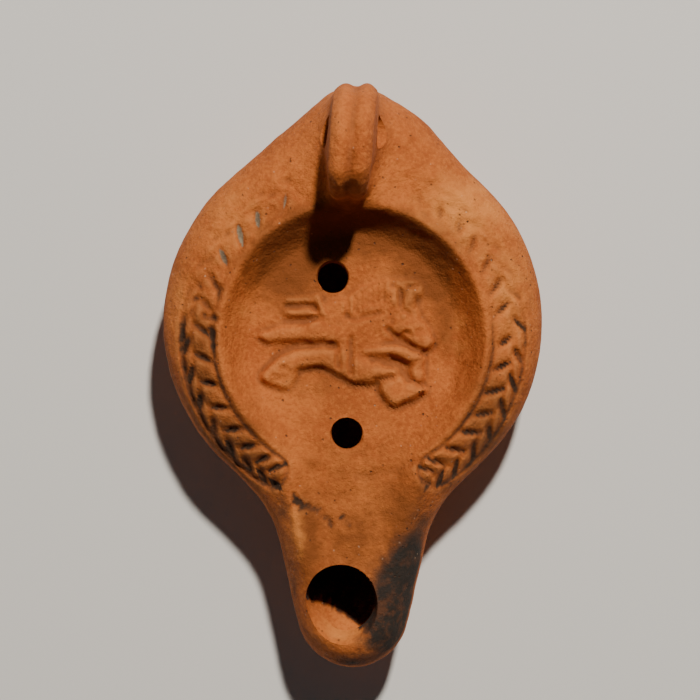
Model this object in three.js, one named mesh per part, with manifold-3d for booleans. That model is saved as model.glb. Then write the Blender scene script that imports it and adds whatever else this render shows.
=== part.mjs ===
// A mould-made terracotta oil lamp, in millimetres, +Z up, nozzle towards -Y and handle towards +Y.
// The lamp is one hollow piece of fired clay. Seen from above it is a round bowl drawn out to a
// nozzle in front and to a pierced lug handle behind. The sunken top dish, the discus, carries a
// running horse in low relief, and runs out to the nozzle in a shallow channel. A band of leaves
// goes round the shoulder on both sides. Two filling holes and a wick hole open the oil chamber.

import * as THREE from "three";
import Module from "manifold-3d";
import { mergeVertices } from "three/addons/utils/BufferGeometryUtils.js";

const wasm = await Module();
wasm.setup();

// Outline in plan. Reaches are distances from the centre of the discus.
const bodyRadius = 40;
const bodySetBack = 3.4;
const nozzleReach = 57.2;
const nozzleTipRadius = 11.8;
const nozzleRootReach = 20;
const nozzleRootRadius = 20.3;
const neckBlend = 8;
const lugReach = 43.2;
const lugRadius = 10;
const flankBulge = 2;
const flankBulgeWidth = 9;
const flankBulgePlace = [14, 45];

// Heights and walls.
const seamHeight = 18;
const shoulderRise = 10.5;
const shoulderRollWidth = 11;
const wall = 3.6;
const footHeight = 1.2;
const footRadius = 19.5;
const footWidth = 3;
const nozzleKeelLift = 5.5;
const rearLift = 4;
const rearRidgeHeight = 1.1;
const rearRidgeWidth = 2.6;

// Discus, channel and the holes.
const discusRadius = 27.6;
const discusWallWidth = 6.6;
const discusDepth = 5.4;
const rimRise = 1.6;
const rimWidth = 1.9;
const rimFade = { from: -8, to: -22, least: 0.25 };
const channelDepth = 2.6;
const channelDepthAtTip = 1.3;
const channelRootReach = 22;
const channelRootRadius = 15.5;
const channelTipRadius = 8.4;
const channelBlend = 9;
const fillingHoleRadius = 3.1;
const fillingHoles = [[-4.2, 12.6], [-1.3, -19.9]];
const wickHoleHalfWidth = 7.0;
const wickHoleHalfLength = 6.5;
const wickHoleReach = 53.8;
const wickHoleSideways = -2.6;
const wickLipLength = 3.8;

// Leaf band on the shoulder.
const bandOuterInset = 2.8;
const bandOuterLimit = 35.6;
const bandGapToRim = 1.3;
const bandSink = 0.8;
const bandStep = 0.6;
const leafPitch = 5.5;
const leafHeight = 1;
const leafSeat = 0.4;
const innerLeafSlant = 34;
const outerLeafSlant = 56;
const bandStartAngle = 68;
const bandEndAngle = -62;

// Lug handle, pierced from side to side, and the swelling of the shoulder round its foot.
const handleHeight = 49.5;
const handleFront = 25.4;
const handleUndercut = 4;
const handleSkew = 2.2;
const handleSideways = 0.8;
const handleSummit = 34;
const handleRear = 52.9;
const handleHalfWidth = 4.3;
const handleFrontHalfWidth = 3.6;
const handleFlare = 2.2;
const handleGroove = 1;
const handleEdgeRound = 2;
const handleBoreRadius = 3.1;
const handleBoreReach = 41.8;
const handleBoreHeight = 33.6;
const swellHeight = 6;
const swellWidth = 6.4;

// Height of the horse's relief.
const reliefHeight = 2.1;

// The grid is finer outside, where the form shows, than on the chamber's walls.
const outerGrid = { columns: 84, inner: 7, outer: 8, below: 6 };
const chamberGrid = { columns: 36, inner: 3, outer: 3, below: 4 };

const nozzleTip = nozzleReach + nozzleTipRadius;
const lugEnd = lugReach + lugRadius;
const discusFloorRadius = discusRadius - discusWallWidth;
const bellyWidth = bodyRadius - footRadius + 1;
const bandInnerRadius = discusRadius + bandGapToRim;
const degrees = Math.PI / 180;

const clamp01 = (value) => Math.min(1, Math.max(0, value));
const mix = (from, to, share) => from + (to - from) * share;

function smoothStep(from, to, value) {
  const share = clamp01((value - from) / (to - from));
  return share * share * (3 - 2 * share);
}

function smoothMin(a, b, reach) {
  const overlap = Math.max(reach - Math.abs(a - b), 0) / reach;
  return Math.min(a, b) - (overlap * overlap * reach) / 4;
}

// Distance to two circles on the Y axis and the straight sides that touch both of them.
function taperedSlot(x, y, fromY, fromRadius, toY, toRadius) {
  const across = Math.abs(x);
  const length = Math.abs(toY - fromY);
  const along = (y - fromY) * Math.sign(toY - fromY);
  const sine = (fromRadius - toRadius) / length;
  const cosine = Math.sqrt(1 - sine * sine);
  const place = along * cosine - across * sine;
  if (place < 0) return Math.hypot(across, along) - fromRadius;
  if (place > cosine * length) return Math.hypot(across, along - length) - toRadius;
  return across * cosine + along * sine - fromRadius;
}

// Signed distance to the outline in plan, negative inside.
function planDistance(x, y) {
  const bowl = taperedSlot(x, y, bodySetBack, bodyRadius, lugReach, lugRadius);
  const nozzle = taperedSlot(x, y, -nozzleRootReach, nozzleRootRadius, -nozzleReach, nozzleTipRadius);
  const fromBulge = Math.hypot(x - flankBulgePlace[0], y - flankBulgePlace[1]) / flankBulgeWidth;
  return smoothMin(bowl, nozzle, neckBlend) - flankBulge * Math.exp(-fromBulge * fromBulge);
}

// Radius of a line set in from the outline, at an angle round the centre of the discus.
function edgeRadius(angle, setIn) {
  let near = 0;
  let far = nozzleTip + lugEnd;
  for (let step = 0; step < 40; step++) {
    const middle = (near + far) / 2;
    if (planDistance(middle * Math.cos(angle), middle * Math.sin(angle)) < -setIn) near = middle;
    else far = middle;
  }
  return near;
}

// A quarter of an ellipse: 0 at the edge, 1 from the stated width inwards.
function quarterRound(inset, width) {
  const left = 1 - clamp01(inset / width);
  return Math.sqrt(Math.max(0, 1 - left * left));
}

// Signed distance to the crest of the rim round the sunken area: the discus, opened by the channel.
function crestDistance(x, y) {
  const discus = Math.hypot(x, y) - discusRadius;
  const channel = taperedSlot(x, y, -channelRootReach, channelRootRadius, -nozzleReach, channelTipRadius);
  return smoothMin(discus, channel, channelBlend);
}

// The sunken area is deepest at the back and gets shallower in front and along the channel.
function sunkenDepth(x, y) {
  const inFront = mix(discusDepth, channelDepth, smoothStep(-2, -discusRadius, y));
  const depth = mix(inFront, channelDepthAtTip, smoothStep(-discusRadius, -nozzleReach, y));
  return depth * smoothStep(0, -discusWallWidth, crestDistance(x, y));
}

// The rim's roll fades out where the channel begins.
function rimRoll(x, y) {
  const fromCrest = crestDistance(x, y) / rimWidth;
  const fade = mix(1, rimFade.least, smoothStep(rimFade.from, rimFade.to, y));
  return rimRise * fade * Math.exp(-fromCrest * fromCrest);
}

// How far a point lies inside the leaf band, 0 to 1, with rounded ends.
function bandShare(x, y) {
  const radius = Math.hypot(x, y);
  const angle = Math.atan2(y, Math.abs(x)) / degrees;
  const fromEdge = smoothStep(bandOuterInset, bandOuterInset + bandStep, -planDistance(x, y));
  const fromRim = smoothStep(bandInnerRadius, bandInnerRadius + bandStep, radius);
  const toLimit = smoothStep(bandOuterLimit + bandStep, bandOuterLimit, radius);
  const fromEnd = smoothStep(bandEndAngle - 3, bandEndAngle, angle);
  const toStart = smoothStep(bandStartAngle + 4, bandStartAngle, angle);
  return fromEdge * fromRim * toLimit * fromEnd * toStart;
}

// The shoulder swells up round the foot of the lug handle.
function lugSwell(x, y) {
  const away = Math.hypot(x, y - Math.min(handleRear - 4, Math.max(handleSummit - 1, y))) / swellWidth;
  return swellHeight * Math.exp(-away * away);
}

// Upper surface of the clay, or of the chamber's ceiling when it is set in by the wall.
function topHeight(x, y, setIn) {
  const inset = -planDistance(x, y) - setIn;
  const rise = (shoulderRise - setIn) * quarterRound(inset, shoulderRollWidth - setIn);
  const height = seamHeight + rise - sunkenDepth(x, y) * quarterRound(inset, shoulderRollWidth - setIn);
  if (setIn > 0) return height;
  const swell = lugSwell(x, y) * quarterRound(inset, swellWidth);
  return height + swell + rimRoll(x, y) * quarterRound(inset, rimWidth) - bandSink * bandShare(x, y);
}

// Lower surface of the clay, or of the chamber's floor when it is set in by the wall.
function bottomHeight(x, y, setIn) {
  const inset = -planDistance(x, y) - setIn;
  const frontLift = nozzleKeelLift * smoothStep(-bodyRadius * 0.7, -nozzleTip * 0.95, y);
  const lift = frontLift + rearLift * smoothStep(bodyRadius * 0.6, lugEnd, y);
  const depth = (seamHeight - footHeight - setIn - lift) * quarterRound(inset, bellyWidth - setIn);
  if (setIn > 0) return seamHeight - depth;
  const ridge = Math.exp(-((x / rearRidgeWidth) ** 2)) * smoothStep(footRadius - 1, footRadius + 4, y);
  return seamHeight - depth - rearRidgeHeight * ridge * smoothStep(0, 3, inset) * smoothStep(0, 8, depth);
}

// The outline, or a line set in from it, as evenly spaced points all the way round from the nozzle's tip.
function outlinePoints(count, setIn) {
  const fine = 1600;
  const points = [];
  for (let i = 0; i <= fine; i++) {
    const angle = (-90 + (360 * i) / fine) * degrees;
    const radius = edgeRadius(angle, setIn);
    points.push(new THREE.Vector2(radius * Math.cos(angle), radius * Math.sin(angle)));
  }
  const travelled = [0];
  for (let i = 1; i <= fine; i++) travelled.push(travelled[i - 1] + points[i].distanceTo(points[i - 1]));
  const chosen = [];
  for (let k = 0, i = 0; k < count; k++) {
    const goal = (travelled[fine] * k) / count;
    while (travelled[i + 1] < goal) i++;
    const share = (goal - travelled[i]) / (travelled[i + 1] - travelled[i]);
    chosen.push(points[i].clone().lerp(points[i + 1], share));
  }
  return chosen;
}

// Where a column of the grid starts on the centre line: the discus centre, or further down the nozzle.
function spinePoint(edge) {
  const tip = -(nozzleReach - 3);
  return new THREE.Vector2(0, tip * (1 - smoothStep(-nozzleTip * 0.93, -bodyRadius * 0.3, edge.y)));
}

// Shares from centre line to edge. One ring runs along the rim's crest, and rings crowd at walls and edge.
function columnShares(spine, edge, grid) {
  let near = 0;
  let far = 0.9;
  for (let step = 0; step < 30; step++) {
    const middle = (near + far) / 2;
    const p = spine.clone().lerp(edge, middle);
    if (crestDistance(p.x, p.y) < 0) near = middle;
    else far = middle;
  }
  const shares = [];
  for (let i = 0; i < grid.inner; i++) shares.push(near * (1 - (1 - i / grid.inner) ** 1.35));
  for (let i = 0; i <= grid.outer; i++) {
    shares.push(mix(near, 1, Math.sin((90 * degrees * i) / grid.outer)));
  }
  return shares;
}

// The whole closed surface, as rings that go out over the top, round the edge and back underneath.
function shellSurface(setIn, grid) {
  const columns = outlinePoints(grid.columns, setIn).map((edge) => {
    const spine = spinePoint(edge);
    const at = (share) => spine.clone().lerp(edge, share);
    const shares = columnShares(spine, edge, grid);
    const upper = shares.slice(0, -1).map(at);
    const above = upper.map((p) => new THREE.Vector3(p.x, p.y, topHeight(p.x, p.y, setIn)));
    const below = [];
    for (let i = 1; i <= grid.below; i++) {
      const p = at(Math.cos((90 * degrees * i) / grid.below));
      below.push(new THREE.Vector3(p.x, p.y, bottomHeight(p.x, p.y, setIn)));
    }
    return [...above, new THREE.Vector3(edge.x, edge.y, seamHeight), ...below];
  });
  return columns[0].map((_, ring) => columns.map((column) => column[ring]));
}

// Skins a stack of rings with equal counts. With caps, each end is closed by a fan.
function skin(rings, caps = true) {
  const count = rings[0].length;
  const stack = rings.map((ring) => ring.slice());
  if (caps) {
    const centre = (ring) => ring.reduce((sum, p) => sum.add(p), new THREE.Vector3()).divideScalar(count);
    stack.unshift(rings[0].map(() => centre(rings[0])));
    stack.push(rings[0].map(() => centre(rings[rings.length - 1])));
  }
  const positions = stack.flat().flatMap((p) => [p.x, p.y, p.z]);
  const index = [];
  for (let r = 0; r < stack.length - 1; r++) {
    for (let c = 0; c < count; c++) {
      const next = (c + 1) % count;
      const [a, b, d, e] = [r * count + c, r * count + next, (r + 1) * count + c, (r + 1) * count + next];
      index.push(a, d, b, b, d, e);
    }
  }
  const geometry = new THREE.BufferGeometry();
  geometry.setAttribute("position", new THREE.Float32BufferAttribute(positions, 3));
  geometry.setIndex(index);
  return geometry;
}

// A closed geometry as a solid for joining and cutting. Triangles that welding made flat are dropped.
function toSolid(source) {
  const bare = source.clone();
  bare.deleteAttribute("normal");
  bare.deleteAttribute("uv");
  const welded = mergeVertices(bare, 1e-4);
  const old = welded.index.array;
  const kept = [];
  for (let i = 0; i < old.length; i += 3) {
    const [a, b, c] = [old[i], old[i + 1], old[i + 2]];
    if (a !== b && b !== c && c !== a) kept.push(a, b, c);
  }
  const vertProperties = new Float32Array(welded.attributes.position.array);
  const mesh = new wasm.Mesh({ numProp: 3, vertProperties, triVerts: new Uint32Array(kept) });
  const solid = new wasm.Manifold(mesh);
  return solid.volume() < 0 ? toSolid(flipped(source)) : solid;
}

function flipped(source) {
  const turned = source.clone();
  const index = turned.index.array;
  for (let i = 0; i < index.length; i += 3) [index[i], index[i + 1]] = [index[i + 1], index[i]];
  return turned;
}

function ellipseRing(centreX, centreY, height, halfX, halfY, count) {
  return Array.from({ length: count }, (_, i) => {
    const angle = (360 * degrees * i) / count;
    return new THREE.Vector3(centreX + halfX * Math.cos(angle), centreY + halfY * Math.sin(angle), height);
  });
}

// The low ring that the lamp stands on.
function footRing() {
  const profile = [
    [footRadius, 0],
    [footRadius + 1.2, footHeight + 1.5],
    [footRadius - footWidth - 0.6, footHeight + 1.5],
    [footRadius - footWidth, 0],
    [footRadius, 0],
  ].map(([radius, height]) => new THREE.Vector2(radius, height));
  const ring = new THREE.LatheGeometry(profile, 36);
  return toSolid(ring.rotateX(90 * degrees));
}

// The lug's outer face as an arch in the YZ plane: steep in front, over the top, sloping down behind.
function handleArch(angle) {
  const foot = seamHeight + 2;
  const reach = Math.cos(angle) < 0 ? handleSummit - handleFront : handleRear - handleSummit;
  const lift = Math.sin(angle) ** 0.75;
  const y = handleSummit + Math.sign(Math.cos(angle)) * reach * Math.abs(Math.cos(angle)) ** 0.8;
  const undercut = Math.cos(angle) < 0 ? handleUndercut * (1 - lift) ** 1.5 : 0;
  return [y + undercut, foot + (handleHeight - foot) * lift];
}

// How far the lug's outer face drops below the top of its two ribs, from side to side.
function ribDrop(share) {
  const fromRib = Math.abs(Math.abs(share) - 0.5) / 0.5;
  return Math.abs(share) < 0.5 ? handleGroove * fromRib ** 1.6 : handleEdgeRound * fromRib ** 2.2;
}

// Lug handle: a web under the arch, wider at its foot, with two ribs and a groove over its outer face.
function lugHandle() {
  const steps = 14;
  const shares = [-1, -0.85, -0.6, -0.3, 0, 0.3, 0.6, 0.85, 1];
  const depths = [0.35, 0.97];
  const heart = [(handleSummit + handleRear) / 2 - 2, seamHeight + 3];
  const rings = [];
  for (let i = 0; i <= steps; i++) {
    const [archY, archZ] = handleArch(mix(176, 4, i / steps) * degrees);
    const reach = Math.hypot(archY - heart[0], archZ - heart[1]);
    const skew = handleSideways + (handleSkew * (archY - handleRear)) / (handleRear - handleFront);
    const taper = smoothStep(handleFront, handleSummit, archY);
    const halfWidth = mix(handleFrontHalfWidth, handleHalfWidth, taper);
    const point = (share, depth) => {
      const x = share * (halfWidth + handleFlare * depth) + skew * (1 - depth);
      return new THREE.Vector3(x, mix(archY, heart[0], depth), mix(archZ, heart[1], depth));
    };
    const face = shares.map((share) => point(share, ribDrop(share) / reach));
    const side = (share) => depths.map((depth) => point(share, depth));
    rings.push([...face, ...side(1), ...side(-1).reverse()]);
  }
  return toSolid(skin(rings));
}

// A flattened rounded bar from one point to the next, for the limbs of the relief.
function limb([fromX, fromY, fromRadius], [toX, toY, toRadius], scale, rise, sides = 6) {
  const start = new THREE.Vector2(fromX, fromY).multiplyScalar(scale);
  const end = new THREE.Vector2(toX, toY).multiplyScalar(scale);
  const along = end.clone().sub(start).normalize();
  const stations = [[0, -0.8, 0.5], [0, 0, 1], [1, 0, 1], [1, 0.8, 0.5]];
  const rings = stations.map(([at, ahead, width]) => {
    const radius = mix(fromRadius, toRadius, at) * scale;
    const centre = start.clone().lerp(end, at).addScaledVector(along, ahead * radius);
    const floor = topHeight(centre.x, centre.y, 0);
    return Array.from({ length: sides }, (_, i) => {
      const angle = (360 * degrees * i) / sides;
      const aside = Math.cos(angle) * radius * width;
      const up = Math.sin(angle) * reliefHeight * rise * width;
      return new THREE.Vector3(centre.x - along.y * aside, centre.y + along.x * aside, floor + up);
    });
  });
  return toSolid(skin(rings));
}

// The horse's pads. Each has its rise as a share of the relief's height, and its joints as
// [x, y, half width], in shares of the radius of the discus floor.
const horse = {
  torso: {
    rise: 0.75,
    joints: [[-0.33, 0.04, 0.17], [-0.15, -0.06, 0.25], [0.1, -0.12, 0.29], [0.17, -0.21, 0.25]],
  },
  belly: { rise: 0.85, joints: [[-0.22, -0.2, 0.13], [-0.09, -0.24, 0.16], [0.03, -0.3, 0.16]] },
  chest: { rise: 1, joints: [[0.04, -0.31, 0.16], [0.2, -0.32, 0.15]] },
  neck: { rise: 0.6, joints: [[0.03, 0.08, 0.18], [0.27, 0.16, 0.25], [0.44, 0.22, 0.22]] },
  crest: {
    rise: 0.48,
    joints: [[-0.04, 0.3, 0.1], [0.14, 0.39, 0.15], [0.33, 0.44, 0.16], [0.6, 0.47, 0.11]],
  },
  head: {
    rise: 0.85,
    joints: [[0.48, 0.29, 0.18], [0.54, 0.14, 0.17], [0.65, 0.02, 0.14], [0.74, -0.07, 0.09]],
  },
  rearEar: { rise: 0.75, joints: [[0.43, 0.51, 0.04], [0.4, 0.37, 0.07]] },
  nearEar: { rise: 0.75, joints: [[0.59, 0.51, 0.04], [0.56, 0.37, 0.08]] },
  farForeleg: {
    rise: 1.1,
    joints: [[0.12, -0.14, 0.05], [0.38, -0.13, 0.07], [0.5, -0.16, 0.08], [0.63, -0.22, 0.09]],
  },
  knee: { rise: 0.7, joints: [[0.63, -0.26, 0.09], [0.64, -0.38, 0.09]] },
  nearForeleg: { rise: 1, joints: [[0.11, -0.33, 0.1], [0.27, -0.34, 0.07], [0.41, -0.35, 0.06]] },
  pastern: { rise: 0.85, joints: [[0.31, -0.42, 0.08], [0.45, -0.44, 0.1]] },
  frontHoof: {
    rise: 1,
    joints: [[0.36, -0.5, 0.11], [0.41, -0.58, 0.11], [0.57, -0.52, 0.1], [0.69, -0.52, 0.05]],
  },
  nearHindLeg: {
    rise: 0.9,
    joints: [[-0.16, -0.17, 0.14], [-0.38, -0.19, 0.11], [-0.57, -0.22, 0.11], [-0.86, -0.39, 0.07]],
  },
  hindHoof: { rise: 0.8, joints: [[-0.64, -0.34, 0.1], [-0.68, -0.42, 0.1], [-0.85, -0.42, 0.05]] },
  farHindLeg: {
    rise: 0.6,
    joints: [[-0.24, 0.04, 0.1], [-0.48, 0.04, 0.1], [-0.71, 0.03, 0.09], [-0.88, 0, 0.07]],
  },
  tail: { rise: 0.4, joints: [[-0.64, 0.24, 0.05], [-0.42, 0.25, 0.06]] },
  plume: { rise: 0.65, joints: [[-0.36, 0.4, 0.04], [-0.3, 0.26, 0.05], [-0.22, 0.14, 0.08]] },
};
const mane = {
  strokes: 7,
  rise: 0.62,
  left: -0.03,
  right: 0.33,
  low: 0.28,
  climb: 0.1,
  length: 0.13,
  halfWidth: 0.024,
};

function horseRelief() {
  const bars = Object.values(horse).flatMap(({ rise, joints }) =>
    joints.slice(1).map((joint, i) => limb(joints[i], joint, discusFloorRadius, rise)),
  );
  for (let i = 0; i < mane.strokes; i++) {
    const share = i / (mane.strokes - 1);
    const x = mix(mane.left, mane.right, share);
    const low = mane.low + mane.climb * share;
    const joints = [[x, low, mane.halfWidth], [x, low + mane.length, mane.halfWidth]];
    bars.push(limb(joints[0], joints[1], discusFloorRadius, mane.rise, 4));
  }
  return wasm.Manifold.union(bars);
}

// Frame seated a little below the upper surface: the normal, and a heading laid into the surface.
function surfaceFrame(x, y, heading) {
  const small = 0.05;
  const slopeX = (topHeight(x + small, y, 0) - topHeight(x - small, y, 0)) / (2 * small);
  const slopeY = (topHeight(x, y + small, 0) - topHeight(x, y - small, 0)) / (2 * small);
  const normal = new THREE.Vector3(-slopeX, -slopeY, 1).normalize();
  const along = heading.clone().addScaledVector(normal, -heading.dot(normal)).normalize();
  const across = new THREE.Vector3().crossVectors(normal, along);
  const place = new THREE.Vector3(x, y, topHeight(x, y, 0)).addScaledVector(normal, -leafSeat);
  return new THREE.Matrix4().makeBasis(along, across, normal).setPosition(place);
}

// One leaf: a long pointed lozenge with a ridge. Its widest plane is seated in the band's clay, so that
// no gap is left under its points.
function leaf(side, angle, share, length, width, turn) {
  const outer = Math.min(edgeRadius(angle, bandOuterInset + bandStep), bandOuterLimit);
  const inner = bandInnerRadius + bandStep;
  const radius = mix(inner, outer, share);
  const outward = new THREE.Vector3(side * Math.cos(angle), Math.sin(angle), 0);
  const towardsNozzle = new THREE.Vector3(side * Math.sin(angle), -Math.cos(angle), 0);
  const heading = outward.clone().multiplyScalar(Math.cos(turn));
  heading.addScaledVector(towardsNozzle, Math.sin(turn));
  const place = surfaceFrame(radius * outward.x, radius * outward.y, heading);
  const gem = new THREE.OctahedronGeometry(1);
  gem.scale((outer - inner) * length, leafPitch * width, leafHeight + leafSeat);
  const indexed = mergeVertices(gem.deleteAttribute("normal").deleteAttribute("uv"), 1e-4);
  return toSolid(indexed.applyMatrix4(place));
}

// Two rows of leaves on each side, spreading from the middle of the band towards the nozzle.
function leafBand() {
  const leaves = [];
  const middleRadius = (bodyRadius - bandOuterInset + bandInnerRadius) / 2;
  const sweep = (bandStartAngle - bandEndAngle) * degrees;
  const count = Math.round((sweep * middleRadius) / leafPitch);
  for (const side of [-1, 1]) {
    for (let i = 0; i < count; i++) {
      const angle = bandStartAngle * degrees - (sweep * (i + 0.5)) / count;
      leaves.push(leaf(side, angle, 0.33, 0.58, 0.31, (180 - innerLeafSlant) * degrees));
      leaves.push(leaf(side, angle, 0.82, 0.41, 0.21, outerLeafSlant * degrees));
    }
  }
  return wasm.Manifold.union(leaves);
}

function fillingHole([x, y]) {
  const low = seamHeight;
  const high = seamHeight + shoulderRise + 4;
  const rings = [low, high].map((z) => ellipseRing(x, y, z, fillingHoleRadius, fillingHoleRadius, 20));
  return toSolid(skin(rings));
}

// The wick hole is cut straight down, and its front lip slopes in from the nozzle's rim.
function wickHole() {
  const top = seamHeight + shoulderRise;
  const stations = [
    [seamHeight - 1, 0],
    [top - 6.5, 0.02],
    [top - 3.5, 0.4],
    [top - 1, 0.75],
    [top + 4, 1.2],
  ];
  const rings = stations.map(([height, open]) => {
    const lip = wickLipLength * open;
    const halfX = wickHoleHalfWidth + 0.12 * lip;
    const halfY = wickHoleHalfLength + lip / 2;
    return ellipseRing(wickHoleSideways, -wickHoleReach - lip / 2, height, halfX, halfY, 24);
  });
  return toSolid(skin(rings));
}

// The hole through the lug, side to side.
function handleBore() {
  const length = 4 * (handleHalfWidth + swellWidth);
  const bore = new THREE.CylinderGeometry(handleBoreRadius, handleBoreRadius, length, 16);
  bore.rotateZ(90 * degrees);
  return toSolid(bore.translate(0, handleBoreReach, handleBoreHeight));
}

function lampSolid() {
  const chamber = toSolid(skin(shellSurface(wall, chamberGrid), false));
  const clay = toSolid(skin(shellSurface(0, outerGrid), false));
  const joined = wasm.Manifold.union([clay, footRing(), lugHandle(), leafBand(), horseRelief()]);
  const cuts = [chamber, ...fillingHoles.map(fillingHole), wickHole(), handleBore()];
  return cuts.reduce((solid, cut) => solid.subtract(cut), joined);
}

// The origin is at the middle of the lamp's length, under it, on the surface that it stands on.
function lampMesh() {
  const { vertProperties, triVerts } = lampSolid().getMesh();
  const geometry = new THREE.BufferGeometry();
  geometry.setAttribute("position", new THREE.BufferAttribute(new Float32Array(vertProperties), 3));
  geometry.setIndex(new THREE.BufferAttribute(new Uint32Array(triVerts), 1));
  geometry.translate(0, (nozzleTip - lugEnd) / 2, 0);
  geometry.computeVertexNormals();
  const terracotta = new THREE.MeshStandardMaterial({ color: 0xc4763e, roughness: 0.82, metalness: 0 });
  const mesh = new THREE.Mesh(geometry, terracotta);
  mesh.name = "oil_lamp";
  return mesh;
}

const lamp = new THREE.Group();
lamp.add(lampMesh());

export default lamp;
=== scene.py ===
# %% [markdown]
# # A terracotta oil lamp
# The imported solid gives the frame: metres, +Z up, the nozzle towards -Y and the handle towards +Y.
# It is one hollow piece of clay, so the scene has one piece too. That piece replaces the faceted
# solid, keeps its form, and adds what a mould and long wear leave: soft leaves, a modelled horse,
# a rounded rim, pits, cracks and soot. Its colour also holds painted shade and painted highlights.

# %% Load the frame
import math
import bpy
import numpy as np
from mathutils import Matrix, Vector


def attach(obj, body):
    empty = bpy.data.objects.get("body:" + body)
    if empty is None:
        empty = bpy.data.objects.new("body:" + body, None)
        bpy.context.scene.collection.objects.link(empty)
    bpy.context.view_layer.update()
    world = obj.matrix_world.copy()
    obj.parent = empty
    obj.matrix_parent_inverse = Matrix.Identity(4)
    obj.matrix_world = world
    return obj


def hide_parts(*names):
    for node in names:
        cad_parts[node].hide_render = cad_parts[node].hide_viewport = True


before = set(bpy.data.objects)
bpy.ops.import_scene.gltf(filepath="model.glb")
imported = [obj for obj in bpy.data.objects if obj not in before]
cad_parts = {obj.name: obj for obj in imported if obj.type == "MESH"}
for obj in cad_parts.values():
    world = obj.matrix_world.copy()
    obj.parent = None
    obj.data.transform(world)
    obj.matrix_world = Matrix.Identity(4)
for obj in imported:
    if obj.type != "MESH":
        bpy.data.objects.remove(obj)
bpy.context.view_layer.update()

# %% [markdown]
# # Sizes
# All shapes are worked out in millimetres from the centre of the discus, the sunken top dish.
# The numbers are those of the solid, so that the fine surface lies on it. Only the last step
# turns millimetres into metres and moves the discus to its place in the frame.

# %% Sizes of the form
BODY_RADIUS = 40.0
BODY_SET_BACK = 3.4
NOZZLE_REACH = 57.2
NOZZLE_TIP_RADIUS = 11.8
NOZZLE_ROOT_REACH = 20.0
NOZZLE_ROOT_RADIUS = 20.3
NECK_BLEND = 8.0
LUG_REACH = 43.2
LUG_RADIUS = 10.0
FLANK_BULGE, FLANK_BULGE_WIDTH, FLANK_BULGE_PLACE = 2.0, 9.0, (14.0, 45.0)
SEAM_HEIGHT = 18.0
SHOULDER_RISE, SHOULDER_ROLL_WIDTH = 10.5, 11.0
WALL = 3.6
FOOT_HEIGHT, FOOT_RADIUS, FOOT_WIDTH = 1.2, 19.5, 3.0
NOZZLE_KEEL_LIFT, REAR_LIFT = 5.5, 4.0
REAR_RIDGE_HEIGHT, REAR_RIDGE_WIDTH = 1.1, 2.6
DISCUS_RADIUS, DISCUS_WALL_WIDTH, DISCUS_DEPTH = 27.6, 6.6, 5.4
RIM_RISE, RIM_WIDTH = 1.6, 1.9
CHANNEL_DEPTH, CHANNEL_DEPTH_AT_TIP = 2.6, 1.3
CHANNEL_ROOT_REACH, CHANNEL_ROOT_RADIUS, CHANNEL_TIP_RADIUS, CHANNEL_BLEND = 22.0, 15.5, 8.4, 9.0
HANDLE_HEIGHT, HANDLE_FRONT, HANDLE_SUMMIT, HANDLE_REAR = 49.5, 25.4, 34.0, 52.9
HANDLE_HALF_WIDTH, HANDLE_FRONT_HALF_WIDTH, HANDLE_FLARE = 4.3, 3.6, 2.2
HANDLE_UNDERCUT, HANDLE_SKEW, HANDLE_SIDEWAYS = 4.0, 2.2, 0.8
HANDLE_GROOVE, HANDLE_EDGE_ROUND = 1.2, 2.0
SWELL_HEIGHT, SWELL_WIDTH = 6.0, 6.4
NOZZLE_TIP = NOZZLE_REACH + NOZZLE_TIP_RADIUS
LUG_END = LUG_REACH + LUG_RADIUS
DISCUS_TO_ORIGIN = (NOZZLE_TIP - LUG_END) / 2
BELLY_WIDTH = BODY_RADIUS - FOOT_RADIUS + 1
print("lamp's length in mm:", NOZZLE_TIP + LUG_END)

# %% [markdown]
# # Heights as functions
# A mould-made lamp is nearly a relief: from above, each point has one height. So the top and the
# underside are written as functions of x and y, made of steps and rounded edges. The plan is a
# signed distance, negative inside, built from tapered slots that melt into each other.

# %% Small functions that the shapes are made of
def ramp(start, end, value):
    """Cubic step: 3t^2 - 2t^3 of the share t of the way from start to end, kept between 0 and 1."""
    t = np.clip((value - start) / (end - start), 0.0, 1.0)
    return t * t * (3.0 - 2.0 * t)


def smooth_min(a, b, reach):
    """The lesser of two, lowered by reach / 4 times the squared share of their overlap."""
    overlap = np.maximum(reach - np.abs(a - b), 0.0) / reach
    return np.minimum(a, b) - overlap * overlap * reach / 4.0


def quarter_round(inset, width):
    """A quarter of an ellipse: 0 at the edge, 1 from width inwards."""
    left = 1.0 - np.clip(inset / width, 0.0, 1.0)
    return np.sqrt(np.maximum(0.0, 1.0 - left * left))


def bell(off, width):
    """Bell curve: e to the power of -(off / width)^2."""
    return np.exp(-((off / width) ** 2))


def tapered_slot(x, y, from_y, from_radius, to_y, to_radius):
    """Distance to two circles on the Y axis and to the straight sides that touch both."""
    across = np.abs(x)
    length = abs(to_y - from_y)
    along = (y - from_y) * np.sign(to_y - from_y)
    sine = (from_radius - to_radius) / length
    cosine = math.sqrt(1.0 - sine * sine)
    place = along * cosine - across * sine
    side = across * cosine + along * sine - from_radius
    start = np.hypot(across, along) - from_radius
    end = np.hypot(across, along - length) - to_radius
    return np.where(place < 0.0, start, np.where(place > cosine * length, end, side))


# %% Plan and heights
def plan_distance(x, y):
    """Outline: the bowl drawn out to the lug, melted into the nozzle, and one bulging flank."""
    bowl = tapered_slot(x, y, BODY_SET_BACK, BODY_RADIUS, LUG_REACH, LUG_RADIUS)
    nozzle = tapered_slot(x, y, -NOZZLE_ROOT_REACH, NOZZLE_ROOT_RADIUS, -NOZZLE_REACH, NOZZLE_TIP_RADIUS)
    off = np.hypot(x - FLANK_BULGE_PLACE[0], y - FLANK_BULGE_PLACE[1])
    return smooth_min(bowl, nozzle, NECK_BLEND) - FLANK_BULGE * bell(off, FLANK_BULGE_WIDTH)


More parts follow.
